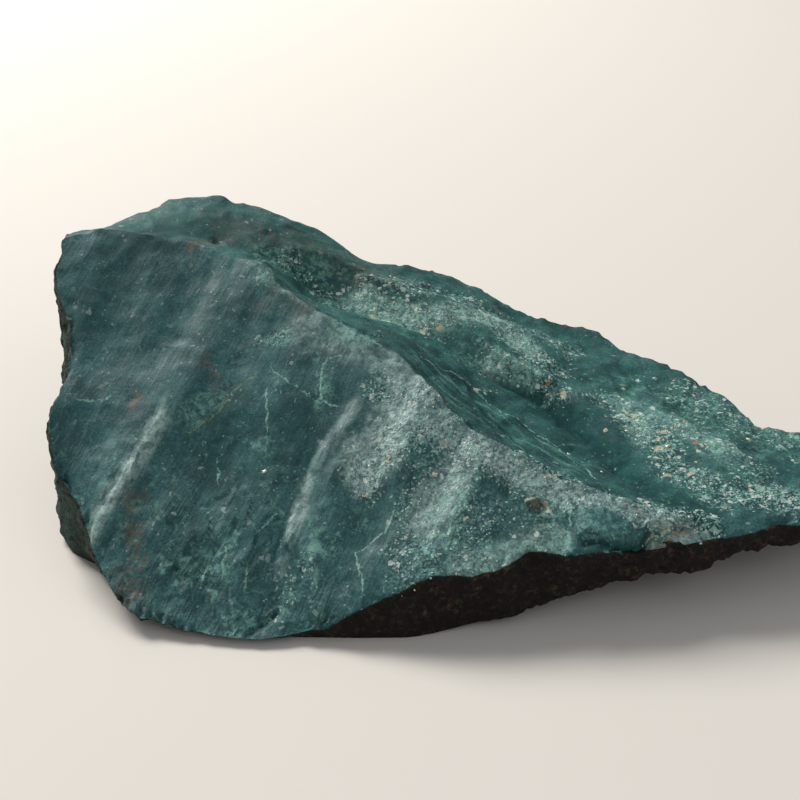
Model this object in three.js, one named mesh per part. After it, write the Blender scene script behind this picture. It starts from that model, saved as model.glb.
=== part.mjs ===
// A rough lump of dark green jasper: one solid, unpolished, broken out of a seam.
//
// The stone is thick at one end and thins to a blade at the other. Its front is one broad break that slopes
// down to a sharp rim, its back is a flake scar that steps down towards the tip, and its sole is flat.
// Eight edges run along it from the thick end to the tip. The faces are stretched between neighbouring edges,
// and the relief of the breaks (swellings, ribs, ledges, scars and chips) is pressed into them afterwards.
//
// Millimetres, +Z up, +X from the thick end to the tip, -Y is the broad front break.
// The origin is the middle of the bounding box, at the level of the sole.
import * as THREE from "three";
import { ImprovedNoise } from "three/addons/math/ImprovedNoise.js";
import { mergeVertices } from "three/addons/utils/BufferGeometryUtils.js";

// ---------------------------------------------------------------- driving dimensions
const FACET = 1.75; // size of the facets along and across the stone
const FACET_JITTER = 0.3; // how far facet corners wander along their face, as a share of the facet size
const THICK_END = -41; // where the edges start, before the end break leans them
const TIP = 63; // where the edges end
const THICK_END_BULGE = 1.6; // how far the break of the thick end stands out in its middle
const TIP_BULGE = 0.8;
const SOLE_SHARE = 0.85; // how much of the underside is flat sole, from the heel, at the thick end
const SOLE_FADE = [4, 20]; // the flat sole dies out between these places along the stone
const SEED = 14;

// ---------------------------------------------------------------- the edges: [x, y, z], thick end to tip
// The sharp lower edge of the front break: low at the left, lifted over an undercut at the right.
const FRONT_RIM = [
  [-41, -12.5, 14.6], [-40, -16.2, 11], [-36.3, -19.5, 8.5], [-34.4, -23.9, 5.5], [-32.4, -27.5, 3.6],
  [-30.5, -29.8, 2.6], [-28.2, -31.1, 1.9], [-25.9, -31.5, 1.7], [-23.9, -32.5, 1.2], [-21.5, -32.6, 1.1],
  [-18.8, -33.4, 0.9], [-14.8, -33.6, 0.9], [-10.7, -32.9, 1.2], [-7.3, -32.5, 2.5], [-5.4, -32.3, 3.3],
  [-1.8, -31.7, 5], [0.5, -31.4, 6], [3.4, -30.6, 7.2], [8.5, -30.5, 7.2], [10.7, -30, 7.6],
  [14, -28.3, 9], [19.1, -29, 8.6], [25.5, -28.6, 8.8], [31.4, -27.3, 8.6], [34, -26.2, 8.9],
  [41.3, -24.1, 9.2], [47, -22.9, 9.1], [53, -20.8, 8.6], [58, -17.6, 8], [61, -15, 7.4], [63, -12.6, 6.6],
];
// The crest between the front break and the flake scar behind it.
const RIDGE = [
  [-41, 10, 29.6], [-36.7, 11.6, 30.6], [-31.4, 10, 30], [-26.3, 9.4, 29.3], [-19.9, 7.1, 28.2],
  [-17.1, 5.8, 27.8], [-14, 2.2, 26], [-8.4, -1.7, 23.8], [-2, -5.3, 21.8], [0.6, -6.6, 20.6],
  [3.9, -11.5, 18], [8.5, -15.5, 16], [14.4, -18.4, 14], [17.5, -20.3, 12.8], [26.5, -23.1, 11.2],
  [31.8, -24.6, 10], [37.4, -22.4, 10], [44.7, -20.5, 10], [54, -17.4, 9.4], [60, -13.6, 8.4],
  [63, -11.6, 7.4],
];
// The foot of the step behind the ridge. It crosses the scar from the back left to the front right.
const TROUGH = [
  [-41, 10.8, 29.6], [-35, 12.8, 30.4], [-31, 12.6, 29.7], [-23.6, 12.2, 28.3], [-17.5, 10.6, 26.2],
  [-12.9, 11.8, 23.7], [-7.8, 10.4, 21.2], [-3.8, 8.2, 19.5], [0, 7.2, 18.4], [6.4, 5, 16.2],
  [11.4, 1.6, 13.6], [17.6, -0.8, 11.5], [22.4, -8.6, 10.2], [25.7, -17.4, 9.7], [29.2, -21.2, 9.7],
  [39.5, -19.4, 9.7], [46, -17.2, 9.7], [54, -15.4, 9.2], [60, -12.8, 8.3], [63, -11, 7.5],
];
// The lip of that step.
const STEP_LIP = [
  [-41, 12.2, 29.5], [-35, 14.8, 29.8], [-31.3, 15.6, 30], [-26.2, 16, 29.9], [-20.5, 15, 28.6],
  [-17.4, 14, 27.7], [-11.4, 14, 26.1], [-6.5, 13.6, 23.6], [-2, 13.2, 22.2], [3.9, 11.8, 20.4],
  [10.2, 5.6, 17.6], [12.5, 3.2, 16.4], [17.6, 1.6, 14.6], [21.1, -1.2, 13.2], [24.3, -6.4, 12.1],
  [27.8, -14.2, 10.9], [31.9, -17.4, 10.5], [39.1, -16.2, 10.4], [47, -13.2, 10.2], [55, -12.4, 9.6],
  [60, -11.4, 8.6], [63, -10.4, 7.6],
];
// The skyline: the top of the back.
const SKYLINE = [
  [-41, 13, 29.4], [-37.1, 16.2, 29.1], [-34.7, 18, 29.7], [-31.7, 19.6, 30.3], [-30.7, 21, 31.1],
  [-25.9, 22, 30.8], [-23.9, 22.4, 31.2], [-22.7, 22.4, 30], [-18.5, 22.2, 29.1], [-11.9, 21.6, 26.8],
  [-9.4, 21, 25.2], [-6.7, 20.6, 23.4], [-4, 20.4, 22.2], [-2, 20.4, 21.9], [0.7, 20.6, 21.7],
  [4.1, 22.4, 20.6], [8.3, 23, 18.6], [11.1, 22.2, 17.3], [13.7, 20.6, 16.3], [16.4, 19.6, 15.4],
  [20.5, 18.7, 14.3], [27.4, 18.4, 13.1], [28.5, 17.6, 12.8], [28.9, 15.6, 12.2], [32.1, 12.7, 11.8],
  [35.2, 11, 11.5], [38, 8.2, 11.1], [41, 3.8, 10.8], [42.9, 1.6, 10.6], [43.3, -2.8, 10.2],
  [46.4, -3.4, 9.9], [51, -4.6, 9.5], [56, -6.2, 9], [60, -7.6, 8.4], [63, -9.4, 7.6],
];
// The widest line of the back, halfway down.
const SHOULDER = [
  [-41, 17.8, 25.6], [-35, 22.6, 26.4], [-27, 26, 26], [-20, 26.6, 24.6], [-12, 26.2, 21.4],
  [-4, 25.4, 17], [3, 24.8, 13.4], [9, 24.8, 11.6], [16, 22, 9.4], [24, 20.4, 8.4], [29, 17.4, 8],
  [33, 14, 8.2], [38, 9.6, 8.1], [42.6, 4, 8], [44, -1.6, 7.9], [51, -3.6, 7.4], [57, -5.6, 6.9],
  [60, -7, 6.5], [63, -9, 6.1],
];
// The foot of the back. It leaves the ground where the blade begins.
const HEEL = [
  [-41, 12.4, 0], [-35, 17, 0], [-24, 20.6, 0], [-14, 19.6, 0], [-4, 19.4, 0], [5, 18.4, 0], [12, 15.4, 0],
  [18, 12.8, 0.8], [26, 11.4, 2.6], [34, 7.6, 3.8], [42, 0.6, 5], [51, -6.4, 5], [60, -9, 4.8], [63, -10, 5],
];
// The lower edge of the undercut below the front rim. It lifts off the ground towards the tip.
const KEEL = [
  [-41, -13.6, 1.2], [-39, -16.4, 0], [-35.4, -18.6, 0], [-32.4, -23.4, 0], [-28, -28.2, 0], [-22, -30.6, 0],
  [-15, -31.8, 0], [-10.8, -32.1, 0], [-5.4, -32.3, 0], [1.4, -32.2, 0], [5.4, -31.2, 0.3], [8.7, -30.2, 1],
  [13.1, -29.4, 1.8], [17.5, -28.6, 2.6], [22.1, -27.4, 3.8], [26.6, -26.8, 5], [33.6, -25.8, 5.4],
  [34.6, -25, 6.1], [40.1, -23.5, 6.5], [44.6, -22.8, 6.6], [53, -19.6, 6], [59, -15.4, 5.4],
  [63, -11.8, 5.4],
];
// How far the break of the thick end leans, as [y, x]: it bites in low down and stands out near the top.
const END_LEAN = [
  [-16, 0.4], [-12, 0], [-10, 0.1], [-7.5, 1.2], [-3, 0.7], [-0.8, 0.2], [1.2, -1], [3, -1.6],
  [6, -1.9], [8.5, -1.3], [10.5, -1.7], [13, -1], [18, 1.4],
];
const END_LEAN_REACH = 7; // the lean fades out over this length

// ---------------------------------------------------------------- relief of the breaks
// Ribs (height > 0) and furrows (height < 0) on the upward faces: their path in plan and their half width.
const RIBS = [
  { height: 0.9, width: 4.4, path: [[-16, 6], [-24, -4.7], [-28.7, -12.7], [-33, -17.8], [-35, -23.4]] },
  { height: 0.8, width: 3, path: [[-3, -10.6], [-5.9, -15.4], [-7.7, -19], [-8.7, -23.4], [-10, -29]] },
  { height: -0.5, width: 2.6, path: [[-4.6, -10], [-8.4, -15.2], [-10.1, -17.8], [-11, -23], [-13, -29]] },
  { height: -1.1, width: 2, path: [[-12.8, -27], [-15, -31.6], [-17, -36]] },
  { height: 1.2, width: 4.4, path: [[4, -8], [1.2, -15.4], [-0.6, -21.6]] },
  { height: -0.6, width: 3.4, path: [[7, -15.6], [4.2, -21.6], [2.4, -28.4]] },
  { height: 0.6, width: 3, path: [[10, -15.6], [9, -21], [5.8, -28]] },
  { height: -0.7, width: 2.6, path: [[18, -19], [17.4, -24], [18.8, -30]] },
  { height: 0.5, width: 3, path: [[-38.5, 10], [-38, -3], [-38.6, -14]] },
  { height: 0.8, width: 3.6, path: [[2, 9], [9, 12.6], [15, 11], [22, 9.2]] },
  { height: -0.7, width: 3.4, path: [[16, 7.4], [22, 3.4], [27.4, -2.4], [31.6, -9.2]] },
  { height: 0.6, width: 3.6, path: [[27, -4], [34, -9.4], [43, -13.4]] },
  { height: 0.5, width: 2, path: [[-21, 9.6], [-15.8, 8.4], [-9, 6], [-1.8, 2]] },
];
// Ledges on the upward faces, where a thin shell broke away: the depth of the step, how far the low side
// takes to come level again, and the path of the step. The low side is on the right of the path.
const LEDGES = [
  { depth: 0.8, reach: 3.6, path: [[25.6, -23.4], [21.9, -18.7], [18.4, -11.3], [13.3, -6.2], [7, -3.6]] },
  { depth: 0.6, reach: 3, path: [[20, -19.6], [14.6, -14], [9.4, -9.4], [3, -7]] },
  { depth: 1.1, reach: 5, path: [[24.8, -30], [26.2, -27.2], [28.8, -25.6], [30.5, -26.2], [33, -24]] },
  { depth: 0.6, reach: 3.4, path: [[-30, -16], [-27.2, -22], [-25.2, -27], [-25.4, -33]] },
  { depth: 0.6, reach: 3, path: [[-20.6, -19.6], [-19.4, -24.6], [-20.6, -29], [-23.4, -33]] },
  { depth: 0.5, reach: 4, path: [[-22, 6.6], [-25, 0], [-27.6, -3.6], [-31, -6]] },
  { depth: 0.6, reach: 3.2, path: [[-5, -21], [-3, -25.6], [-5.4, -31]] },
  { depth: 0.5, reach: 2.8, path: [[13, -19], [12.2, -23.6], [13.6, -28.6]] },
  { depth: 0.7, reach: 4, path: [[45, -6], [40, -7.4], [35.6, -4], [33, 3]] },
  { depth: 0.6, reach: 4, path: [[30, 12], [24, 13.6], [18, 15], [11, 18]] },
];
// Shell-shaped scars, each a ball bitten out of the stone: where it bites, its radius, and how deep it goes.
const SCARS = [
  { at: [-19, -17, 11], radius: 30, depth: 0.9 },
  { at: [-34, -3, 20], radius: 26, depth: 0.4 },
  { at: [29.6, -26.6, 9], radius: 4.6, depth: 1 },
  { at: [-34, 20, 13], radius: 26, depth: 2 },
  { at: [-23, 25, 15], radius: 30, depth: 2 },
  { at: [-19, 22, 5], radius: 22, depth: 1.4 },
  { at: [-9, 24, 10], radius: 24, depth: 2.2 },
  { at: [4, 24, 8], radius: 20, depth: 2 },
  { at: [17, 20, 6.4], radius: 16, depth: 1.5 },
  { at: [29, 15, 6], radius: 14, depth: 1.1 },
  { at: [40, 6, 6], radius: 12, depth: 0.9 },
  { at: [-42, 2, 18], radius: 18, depth: 1.5 },
  { at: [-41, -6, 9], radius: 14, depth: 1.2 },
  { at: [-41, 9, 8], radius: 18, depth: 1.6 },
  { at: [50, -19, 6], radius: 8, depth: 0.8 },
  { at: [61, -11, 7], radius: 6, depth: 0.8 },
  { at: [2, -31.6, 3], radius: 6, depth: 0.6 },
  { at: [20, -27.8, 5.6], radius: 6, depth: 0.7 },
];
const CHIPS = { count: 90, radius: [3.5, 8], depth: [0.25, 0.6] }; // smaller scars off the front break
const RIB_POWER = 1.3; // above 1 a rib is narrow on top and fades out gently at its foot
const TAPER_POWER = 0.4; // below 1 a rib or ledge keeps most of its height until near its ends
const UPWARD = [0.3, 0.6]; // ribs and ledges are only on faces whose normals rise more than this
// Uneven swelling of the breaks: [size of the swellings, how far they stand out].
const SWELLING = [[15, 0.96], [6.5, 0.42], [2.6, 0.22]];
const SWELLING_START = new THREE.Vector3(3.7, 1.3, 8.1); // where in the noise the swelling is taken from
const FRONT_CALM = 0.45; // the front break swells less than the others, by this share
const CRISP = 2.6; // swelling and chips fade out towards the sharp edges over this distance
const SOLE_CLEAR = 1.6; // below this height the relief fades out, so that the sole stays flat

// ---------------------------------------------------------------- helpers
const noise = new ImprovedNoise();
const lerp = THREE.MathUtils.lerp;
const smoothstep = THREE.MathUtils.smoothstep;

// Chance that gives the same stone every time.
let chance = SEED;
function random() {
  chance = (chance * 1664525 + 1013904223) % 4294967296;
  return chance / 4294967296;
}

// The other coordinates of a polyline at a value of its first coordinate.
function lookUp(line, first) {
  let i = 1;
  while (i < line.length - 1 && line[i][0] < first) i++;
  const [a, b] = [line[i - 1], line[i]];
  const t = THREE.MathUtils.clamp((first - a[0]) / (b[0] - a[0]), 0, 1);
  return a.slice(1).map((value, k) => lerp(value, b[k + 1], t));
}

// ---------------------------------------------------------------- the loft between the edges
const SHARP_EDGES = [FRONT_RIM, RIDGE, SKYLINE];
const EDGES = [FRONT_RIM, RIDGE, TROUGH, STEP_LIP, SKYLINE, SHOULDER, HEEL, KEEL];
const UNDERSIDE = EDGES.indexOf(HEEL);

function edgePoint(edge, x) {
  const [y, z] = lookUp(edge, x);
  return new THREE.Vector3(x, y, z);
}

// One row of points across a face, from its first edge up to, but not including, its second.
function rowAcross(face, x) {
  const from = edgePoint(EDGES[face], x);
  const to = edgePoint(EDGES[(face + 1) % EDGES.length], x);
  const count = Math.max(1, Math.round(from.distanceTo(to) / FACET));
  const flatShare = face === UNDERSIDE ? SOLE_SHARE * (1 - smoothstep(x, ...SOLE_FADE)) : 0;
  const inside = x > THICK_END && x < TIP;
  return Array.from({ length: count }, (_, i) => {
    const t = (i + (i > 0 ? (random() - 0.5) * 2 * FACET_JITTER : 0)) / count;
    const place = x + (inside ? (random() - 0.5) * 2 * FACET_JITTER * FACET : 0);
    const point = edgePoint(EDGES[face], place).lerp(edgePoint(EDGES[(face + 1) % EDGES.length], place), t);
    if (flatShare > 0) point.z = lerp(from.z, to.z, Math.max(0, (t - flatShare) / (1 - flatShare)));
    return point;
  });
}

// A closed ring of rows round the stone at one place along it.
function ringAt(x) {
  const rows = EDGES.map((_, face) => rowAcross(face, x));
  for (const point of rows.flat()) {
    const [lean] = lookUp(END_LEAN, point.y);
    point.x += lean * (1 - smoothstep(x - THICK_END, 0, END_LEAN_REACH));
  }
  return rows;
}

// Triangles between two rows that may hold different numbers of points.
function zip(low, high, faces) {
  let [i, j] = [0, 0];
  while (i < low.length - 1 || j < high.length - 1) {
    const lowNext = (i + 1) / (low.length - 1 || 1);
    const highNext = (j + 1) / (high.length - 1 || 1);
    if (j === high.length - 1 || (i < low.length - 1 && lowNext <= highNext)) {
      faces.push(low[i], high[j], low[++i]);
    } else {
      faces.push(low[i], high[j], high[++j]);
    }
  }
}

// Closes an open end: rings that shrink to the middle of the end break and bulge outwards.
function capEnd(ring, bulge, faces) {
  const outline = new THREE.CatmullRomCurve3(ring, true, "catmullrom", 0);
  const middle = ring.reduce((sum, p) => sum.add(p), new THREE.Vector3()).divideScalar(ring.length);
  const radius = Math.max(...ring.map((p) => p.distanceTo(middle)));
  const ringCount = Math.max(1, Math.floor(radius / FACET));
  let outer = [...ring, ring[0]];
  for (let k = 1; k <= ringCount; k++) {
    const share = 1 - k / ringCount;
    const count = k === ringCount ? 1 : Math.max(3, Math.round(ring.length * share));
    const inner = Array.from({ length: count }, (_, i) => {
      const rim = outline.getPoint(i / count);
      const point = middle.clone().lerp(rim, share);
      point.x += bulge * (1 - share * share);
      return point;
    });
    const closed = count === 1 ? inner : [...inner, inner[0]];
    zip(outer, closed, faces);
    outer = closed;
  }
}

function loft() {
  const faces = [];
  const stations = Math.round((TIP - THICK_END) / FACET);
  const rings = Array.from({ length: stations + 1 }, (_, s) => ringAt(lerp(THICK_END, TIP, s / stations)));
  for (let s = 0; s < stations; s++) {
    EDGES.forEach((_, face) => {
      const next = (face + 1) % EDGES.length;
      const low = [...rings[s][face], rings[s][next][0]];
      const high = [...rings[s + 1][face], rings[s + 1][next][0]];
      zip(low, high, faces);
    });
  }
  capEnd(rings[0].flat().reverse(), -THICK_END_BULGE, faces);
  capEnd(rings[stations].flat(), TIP_BULGE, faces);
  const loose = new THREE.BufferGeometry().setFromPoints(faces);
  return mergeVertices(loose, 1e-3);
}

const SLENDER = Math.PI + 0.05; // two facets are slender where the angles opposite their side add up to this
const LEVEL = 0.9; // they are level where their normals agree better than this
const FOLDED = 0.8; // a swap folds them where a normal would turn further than this

// Swaps the side shared by two neighbouring facets wherever that makes them less slender.
function evenOut(geometry) {
  const index = geometry.index.array;
  const corner = (i) => new THREE.Vector3().fromBufferAttribute(geometry.getAttribute("position"), i);
  const normalOf = (a, b, c) => new THREE.Triangle(a, b, c).getNormal(new THREE.Vector3());
  const angleAt = (apex, a, b) => a.clone().sub(apex).angleTo(b.clone().sub(apex));
  const sides = new Map();
  for (let slot = 0; slot < index.length; slot++) {
    const face = slot - (slot % 3);
    sides.set(`${index[slot]},${index[face + ((slot + 1) % 3)]}`, slot);
  }
  const swapped = new Set();
  for (const [side, slot] of sides) {
    const [a, b] = side.split(",").map(Number);
    const mirrorSlot = sides.get(`${b},${a}`);
    const [face, mirrorFace] = [slot - (slot % 3), mirrorSlot - (mirrorSlot % 3)];
    if (a > b || swapped.has(face) || swapped.has(mirrorFace)) continue;
    const c = index[face + ((slot + 2) % 3)];
    const d = index[mirrorFace + ((mirrorSlot + 2) % 3)];
    if (sides.has(`${c},${d}`) || sides.has(`${d},${c}`)) continue;
    const [A, B, C, D] = [a, b, c, d].map(corner);
    const before = normalOf(A, B, C);
    const slender = angleAt(C, A, B) + angleAt(D, A, B) > SLENDER;
    const level = before.dot(normalOf(B, A, D)) > LEVEL;
    const folded = Math.min(normalOf(A, D, C).dot(before), normalOf(D, B, C).dot(before)) < FOLDED;
    if (!slender || !level || folded) continue;
    index.set([a, d, c], face);
    index.set([d, b, c], mirrorFace);
    swapped.add(face).add(mirrorFace);
    sides.set(`${c},${d}`, face).set(`${d},${c}`, mirrorFace);
  }
  return swapped.size;
}

// ---------------------------------------------------------------- the relief
// Where a point lies against a path in plan: how far off, on which side (+1 is the right), and how far along.
function besidePath(point, path) {
  let found = { off: Infinity, side: 0, along: 0 };
  for (let i = 1; i < path.length; i++) {
    const [dx, dy] = [path[i][0] - path[i - 1][0], path[i][1] - path[i - 1][1]];
    const [px, py] = [point.x - path[i - 1][0], point.y - path[i - 1][1]];
    const t = THREE.MathUtils.clamp((px * dx + py * dy) / (dx * dx + dy * dy), 0, 1);
    const off = Math.hypot(px - dx * t, py - dy * t);
    const along = (i - 1 + t) / (path.length - 1);
    if (off < found.off) found = { off, side: Math.sign(px * dy - py * dx), along };
  }
  return found;
}

// How strongly a rib or ledge stands out along its path: fully in the middle, not at all at its ends.
function taper(along) {
  return Math.pow(Math.sin(Math.PI * along), TAPER_POWER);
}

// Nought on a sharp edge, one well away from them all.
function offSharpEdges(point) {
  const nearest = Math.min(...SHARP_EDGES.map((edge) => edgePoint(edge, point.x).distanceTo(point)));
  return smoothstep(nearest, 0, CRISP);
}

// Moves every corner of the stone to where the given function puts it, less and less towards the sole.
function reshape(geometry, move) {
  geometry.computeVertexNormals();
  const places = geometry.getAttribute("position");
  const normals = geometry.getAttribute("normal");
  for (let i = 0; i < places.count; i++) {
    const point = new THREE.Vector3().fromBufferAttribute(places, i);
    const normal = new THREE.Vector3().fromBufferAttribute(normals, i);
    const moved = move(point.clone(), normal);
    const keep = smoothstep(point.z, 0, SOLE_CLEAR);
    point.lerp(moved, keep);
    point.z = Math.max(point.z, 0);
    places.setXYZ(i, point.x, point.y, point.z);
  }
}

function addRibsAndLedges(geometry) {
  reshape(geometry, (point, normal) => {
    const upward = smoothstep(normal.z, ...UPWARD);
    let height = 0;
    for (const rib of RIBS) {
      const { off, along } = besidePath(point, rib.path);
      height += rib.height * taper(along) * Math.pow(Math.max(0, 1 - off / rib.width), RIB_POWER);
    }
    for (const ledge of LEDGES) {
      const { off, side, along } = besidePath(point, ledge.path);
      if (side > 0) height -= ledge.depth * taper(along) * Math.max(0, 1 - off / ledge.reach);
    }
    return point.addScaledVector(normal, height * upward);
  });
}

// How far a place belongs to the front break: its normal rises and leans to the front.
function onFrontBreak(normal) {
  return smoothstep(-normal.y, 0.2, 0.5) * smoothstep(normal.z, 0.4, 0.7);
}

function addSwelling(geometry) {
  reshape(geometry, (point, normal) => {
    let height = 0;
    for (const [size, stand] of SWELLING) {
      const at = point.clone().divideScalar(size).add(SWELLING_START);
      height += stand * noise.noise(at.x, at.y, at.z);
    }
    height *= lerp(1, FRONT_CALM, onFrontBreak(normal));
    return point.addScaledVector(normal, height * offSharpEdges(point));
  });
}

// Bites a ball out of the stone where the surface comes nearest to a place.
function addScar(geometry, { at, radius, depth }) {
  geometry.computeVertexNormals();
  const places = geometry.getAttribute("position");
  const normals = geometry.getAttribute("normal");
  const target = new THREE.Vector3(...at);
  const corner = new THREE.Vector3();
  let nearest = 0;
  let best = Infinity;
  for (let i = 0; i < places.count; i++) {
    const distance = corner.fromBufferAttribute(places, i).distanceToSquared(target);
    if (distance < best) [best, nearest] = [distance, i];
  }
  const outwards = new THREE.Vector3().fromBufferAttribute(normals, nearest);
  const centre = new THREE.Vector3().fromBufferAttribute(places, nearest);
  centre.addScaledVector(outwards, radius - depth);
  reshape(geometry, (point) => {
    const arm = point.clone().sub(centre);
    return arm.length() < radius ? centre.clone().addScaledVector(arm.normalize(), radius) : point;
  });
}

function addChips(geometry) {
  const places = geometry.getAttribute("position");
  for (let k = 0; k < CHIPS.count; k++) {
    const i = Math.floor(random() * places.count);
    const at = [places.getX(i), places.getY(i), places.getZ(i)];
    const size = random();
    const [ridgeY] = lookUp(RIDGE, at[0]);
    const [, rimZ] = lookUp(FRONT_RIM, at[0]);
    const onFront = at[1] < ridgeY + 1 && at[2] > rimZ;
    if (at[2] < SOLE_CLEAR || onFront || offSharpEdges(new THREE.Vector3(...at)) < 1) continue;
    addScar(geometry, { at, radius: lerp(...CHIPS.radius, size), depth: lerp(...CHIPS.depth, size) });
  }
}

// ---------------------------------------------------------------- the part
const geometry = loft();
while (evenOut(geometry) > 0);
addSwelling(geometry);
addRibsAndLedges(geometry);
for (const scar of SCARS) addScar(geometry, scar);
addChips(geometry);
geometry.computeBoundingBox();
const { min, max } = geometry.boundingBox;
geometry.translate(-(min.x + max.x) / 2, -(min.y + max.y) / 2, -min.z);

const jasper = new THREE.Mesh(
  geometry.toNonIndexed(),
  new THREE.MeshStandardMaterial({ color: 0x2c4446, roughness: 0.55, metalness: 0 }),
);
jasper.name = "jasper";
jasper.geometry.computeVertexNormals();

const stone = new THREE.Group();
stone.name = "rough_jasper";
stone.add(jasper);

export default stone;
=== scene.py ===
import math
import random

import bmesh
import bpy
from mathutils import Matrix, Vector, kdtree, noise


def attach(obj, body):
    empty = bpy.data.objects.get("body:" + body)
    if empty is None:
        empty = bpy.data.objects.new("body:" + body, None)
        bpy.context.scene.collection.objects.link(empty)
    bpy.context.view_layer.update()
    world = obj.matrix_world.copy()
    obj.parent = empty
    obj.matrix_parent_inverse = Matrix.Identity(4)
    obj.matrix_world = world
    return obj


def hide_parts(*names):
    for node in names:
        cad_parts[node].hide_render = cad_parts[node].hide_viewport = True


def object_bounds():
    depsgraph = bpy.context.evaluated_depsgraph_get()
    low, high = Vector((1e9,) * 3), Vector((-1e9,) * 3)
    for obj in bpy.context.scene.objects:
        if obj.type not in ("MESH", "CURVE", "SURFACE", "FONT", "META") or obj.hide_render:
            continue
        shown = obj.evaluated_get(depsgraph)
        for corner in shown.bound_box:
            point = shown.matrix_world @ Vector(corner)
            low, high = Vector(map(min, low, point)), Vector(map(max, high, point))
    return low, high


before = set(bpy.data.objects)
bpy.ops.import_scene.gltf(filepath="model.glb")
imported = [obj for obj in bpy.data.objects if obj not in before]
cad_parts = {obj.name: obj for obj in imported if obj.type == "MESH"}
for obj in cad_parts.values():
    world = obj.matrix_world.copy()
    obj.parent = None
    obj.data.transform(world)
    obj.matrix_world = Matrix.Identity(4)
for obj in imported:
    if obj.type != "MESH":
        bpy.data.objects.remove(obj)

cad_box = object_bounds()
MM = 0.001

# ---------------------------------------------------------------------------
# The camera: close to the stone and square to its long side. It looks a little
# down on it, with a lens of medium length.
# ---------------------------------------------------------------------------
AIM = Vector((-10.3, 3.5, 12.0)) * MM
LOOK_DOWN = math.radians(28)
AWAY = 167 * MM
LENS_MM, SENSOR_MM = 60, 36

lens = bpy.data.cameras.new("camera")
lens.lens = LENS_MM
lens.sensor_width = SENSOR_MM
lens.clip_start = 0.01
camera = bpy.data.objects.new("camera", lens)
camera.location = AIM + Vector((0, -math.cos(LOOK_DOWN), math.sin(LOOK_DOWN))) * AWAY
camera.rotation_euler = (math.radians(90) - LOOK_DOWN, 0, 0)
bpy.context.scene.collection.objects.link(camera)
bpy.context.scene.camera = camera

# ---------------------------------------------------------------------------
# The lump: one piece of dark green chalcedony, broken out of its seam and never
# polished. All its faces are natural breaks, with shells, hackles and ledges, and
# its thin rims have lost chips. Its underside and thick end keep the old dark rind,
# painted near black, which adds painted shade under the rim and on faces turned down.
# ---------------------------------------------------------------------------
# Places and sizes are in millimetres: x runs along the stone, y away from its front, z up from its sole
SHARP_ANGLE = math.radians(34)  # edges of the solid that stay crisp when it is smoothed
SOFT_ANGLE = math.radians(10)  # edges that are smoothed away altogether
RIM_ANGLE = math.radians(48)  # outward edges that are thin enough to have chipped
BREAK_ANGLE = math.radians(32)  # edges of the finished skin that are seen as breaks
SOLE_LEVEL = 0.25  # what lies lower than this is the sole, and stays flat
DOWN_FRONT = Vector((-0.45, -0.89, 0))  # the way the breakage runs down the front
ACROSS_FRONT = Vector((0.89, -0.45, 0))
ACROSS_LAYERS = Vector((0.64, 0.77, 0))  # the thin layers lie along the ridge's back slope

# Ground that is full of tiny crystals: half width, how full, then its way in plan
CRYSTAL_BANDS = [
    (3.6, 1.0, [(-14, -15), (-11, -12.5), (-5, -12.5), (-1, -14.5), (7.5, -17.8)]),
    (2.3, 1.0, [(7.5, -17.8), (16, -20.6), (24, -21.5)]),
    (3.2, 0.8, [(-12, -6.5), (-8, -8.5), (-4, -12)]),
    (4.5, 0.7, [(-5, -15), (-8, -20), (-8.5, -26)]),
    (4.0, 0.7, [(-2, -21), (-2, -28)]),
    (3.0, 0.5, [(3, -19), (6, -24)]),
    (4.0, 1.0, [(18, -1), (20.5, -6), (22, -12), (26, -15.5), (34, -16.5)]),
    (4.0, 0.6, [(16, 3), (23, -1), (28, -7), (31, -13)]),
    (2.6, 0.7, [(1, 6.5), (6, 5.4), (10, 3)]),
    (5.0, 0.5, [(26, 7), (34, 0), (42, -8), (48, -14)]),
    (3.2, 0.95, [(-15, 14), (-10, 12.4), (-5, 12.2), (1, 15), (5, 12.5), (9, 8)]),
    (3.5, 0.7, [(-13, 16.5), (-5, 18.5), (5, 18), (12, 15)]),
    (1.2, 0.5, [(-0.5, 1.5), (0.5, 1.7)]),
    (2.5, 0.6, [(-17.6, 12.8), (-24.7, 15.4)]),
    (2.2, 0.5, [(-26.2, 0.4), (-25.4, 0)]),
    (2.2, 0.35, [(-20, -24), (-24, -27)]),
]
# Ground painted milky and pale: partly milky stone, partly painted sheen, before the crest and then behind it
FRONT_MILK_AND_SHEEN_BANDS = [
    (1.4, 0.9, [(-38, -8), (-40.5, -12), (-43.6, -17), (-45, -19)]),
    (1.2, 0.8, [(-20.8, -15), (-21.6, -18), (-22.3, -20.4)]),
    (4.2, 1.0, [(-10.6, -10.5), (-12.4, -12.8), (-14, -14)]),
    (3.2, 0.8, [(-10.5, -4.5), (-8.2, -8.2)]),
    (2.6, 0.8, [(-6, -11), (-1.3, -14.3), (7.5, -17.9)]),
    (1.6, 0.8, [(7.5, -17.9), (16, -20.8), (21.4, -21.6)]),
    (3.2, 0.9, [(-5, -17), (-7.5, -21)]),
    (2.2, 0.6, [(-4, -26.5), (2, -25), (7, -23.5)]),
    (3.0, 0.5, [(-22, 1), (-14.5, -2.2), (-9.7, -4)]),
    (1.3, 1.0, [(17.5, -23.7), (19.7, -22.9), (22, -22.5)]),
]
BACK_MILK_AND_SHEEN_BANDS = [
    (2.8, 1.0, [(-15.5, 14), (-11.2, 12.4), (-5.2, 12.2), (2.1, 15), (6.6, 11)]),
    (3.0, 0.5, [(19, -5), (18, 3), (23, -1), (28, -8)]),
    (2.2, 0.7, [(1, 6.2), (6, 5.2)]),
]
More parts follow.
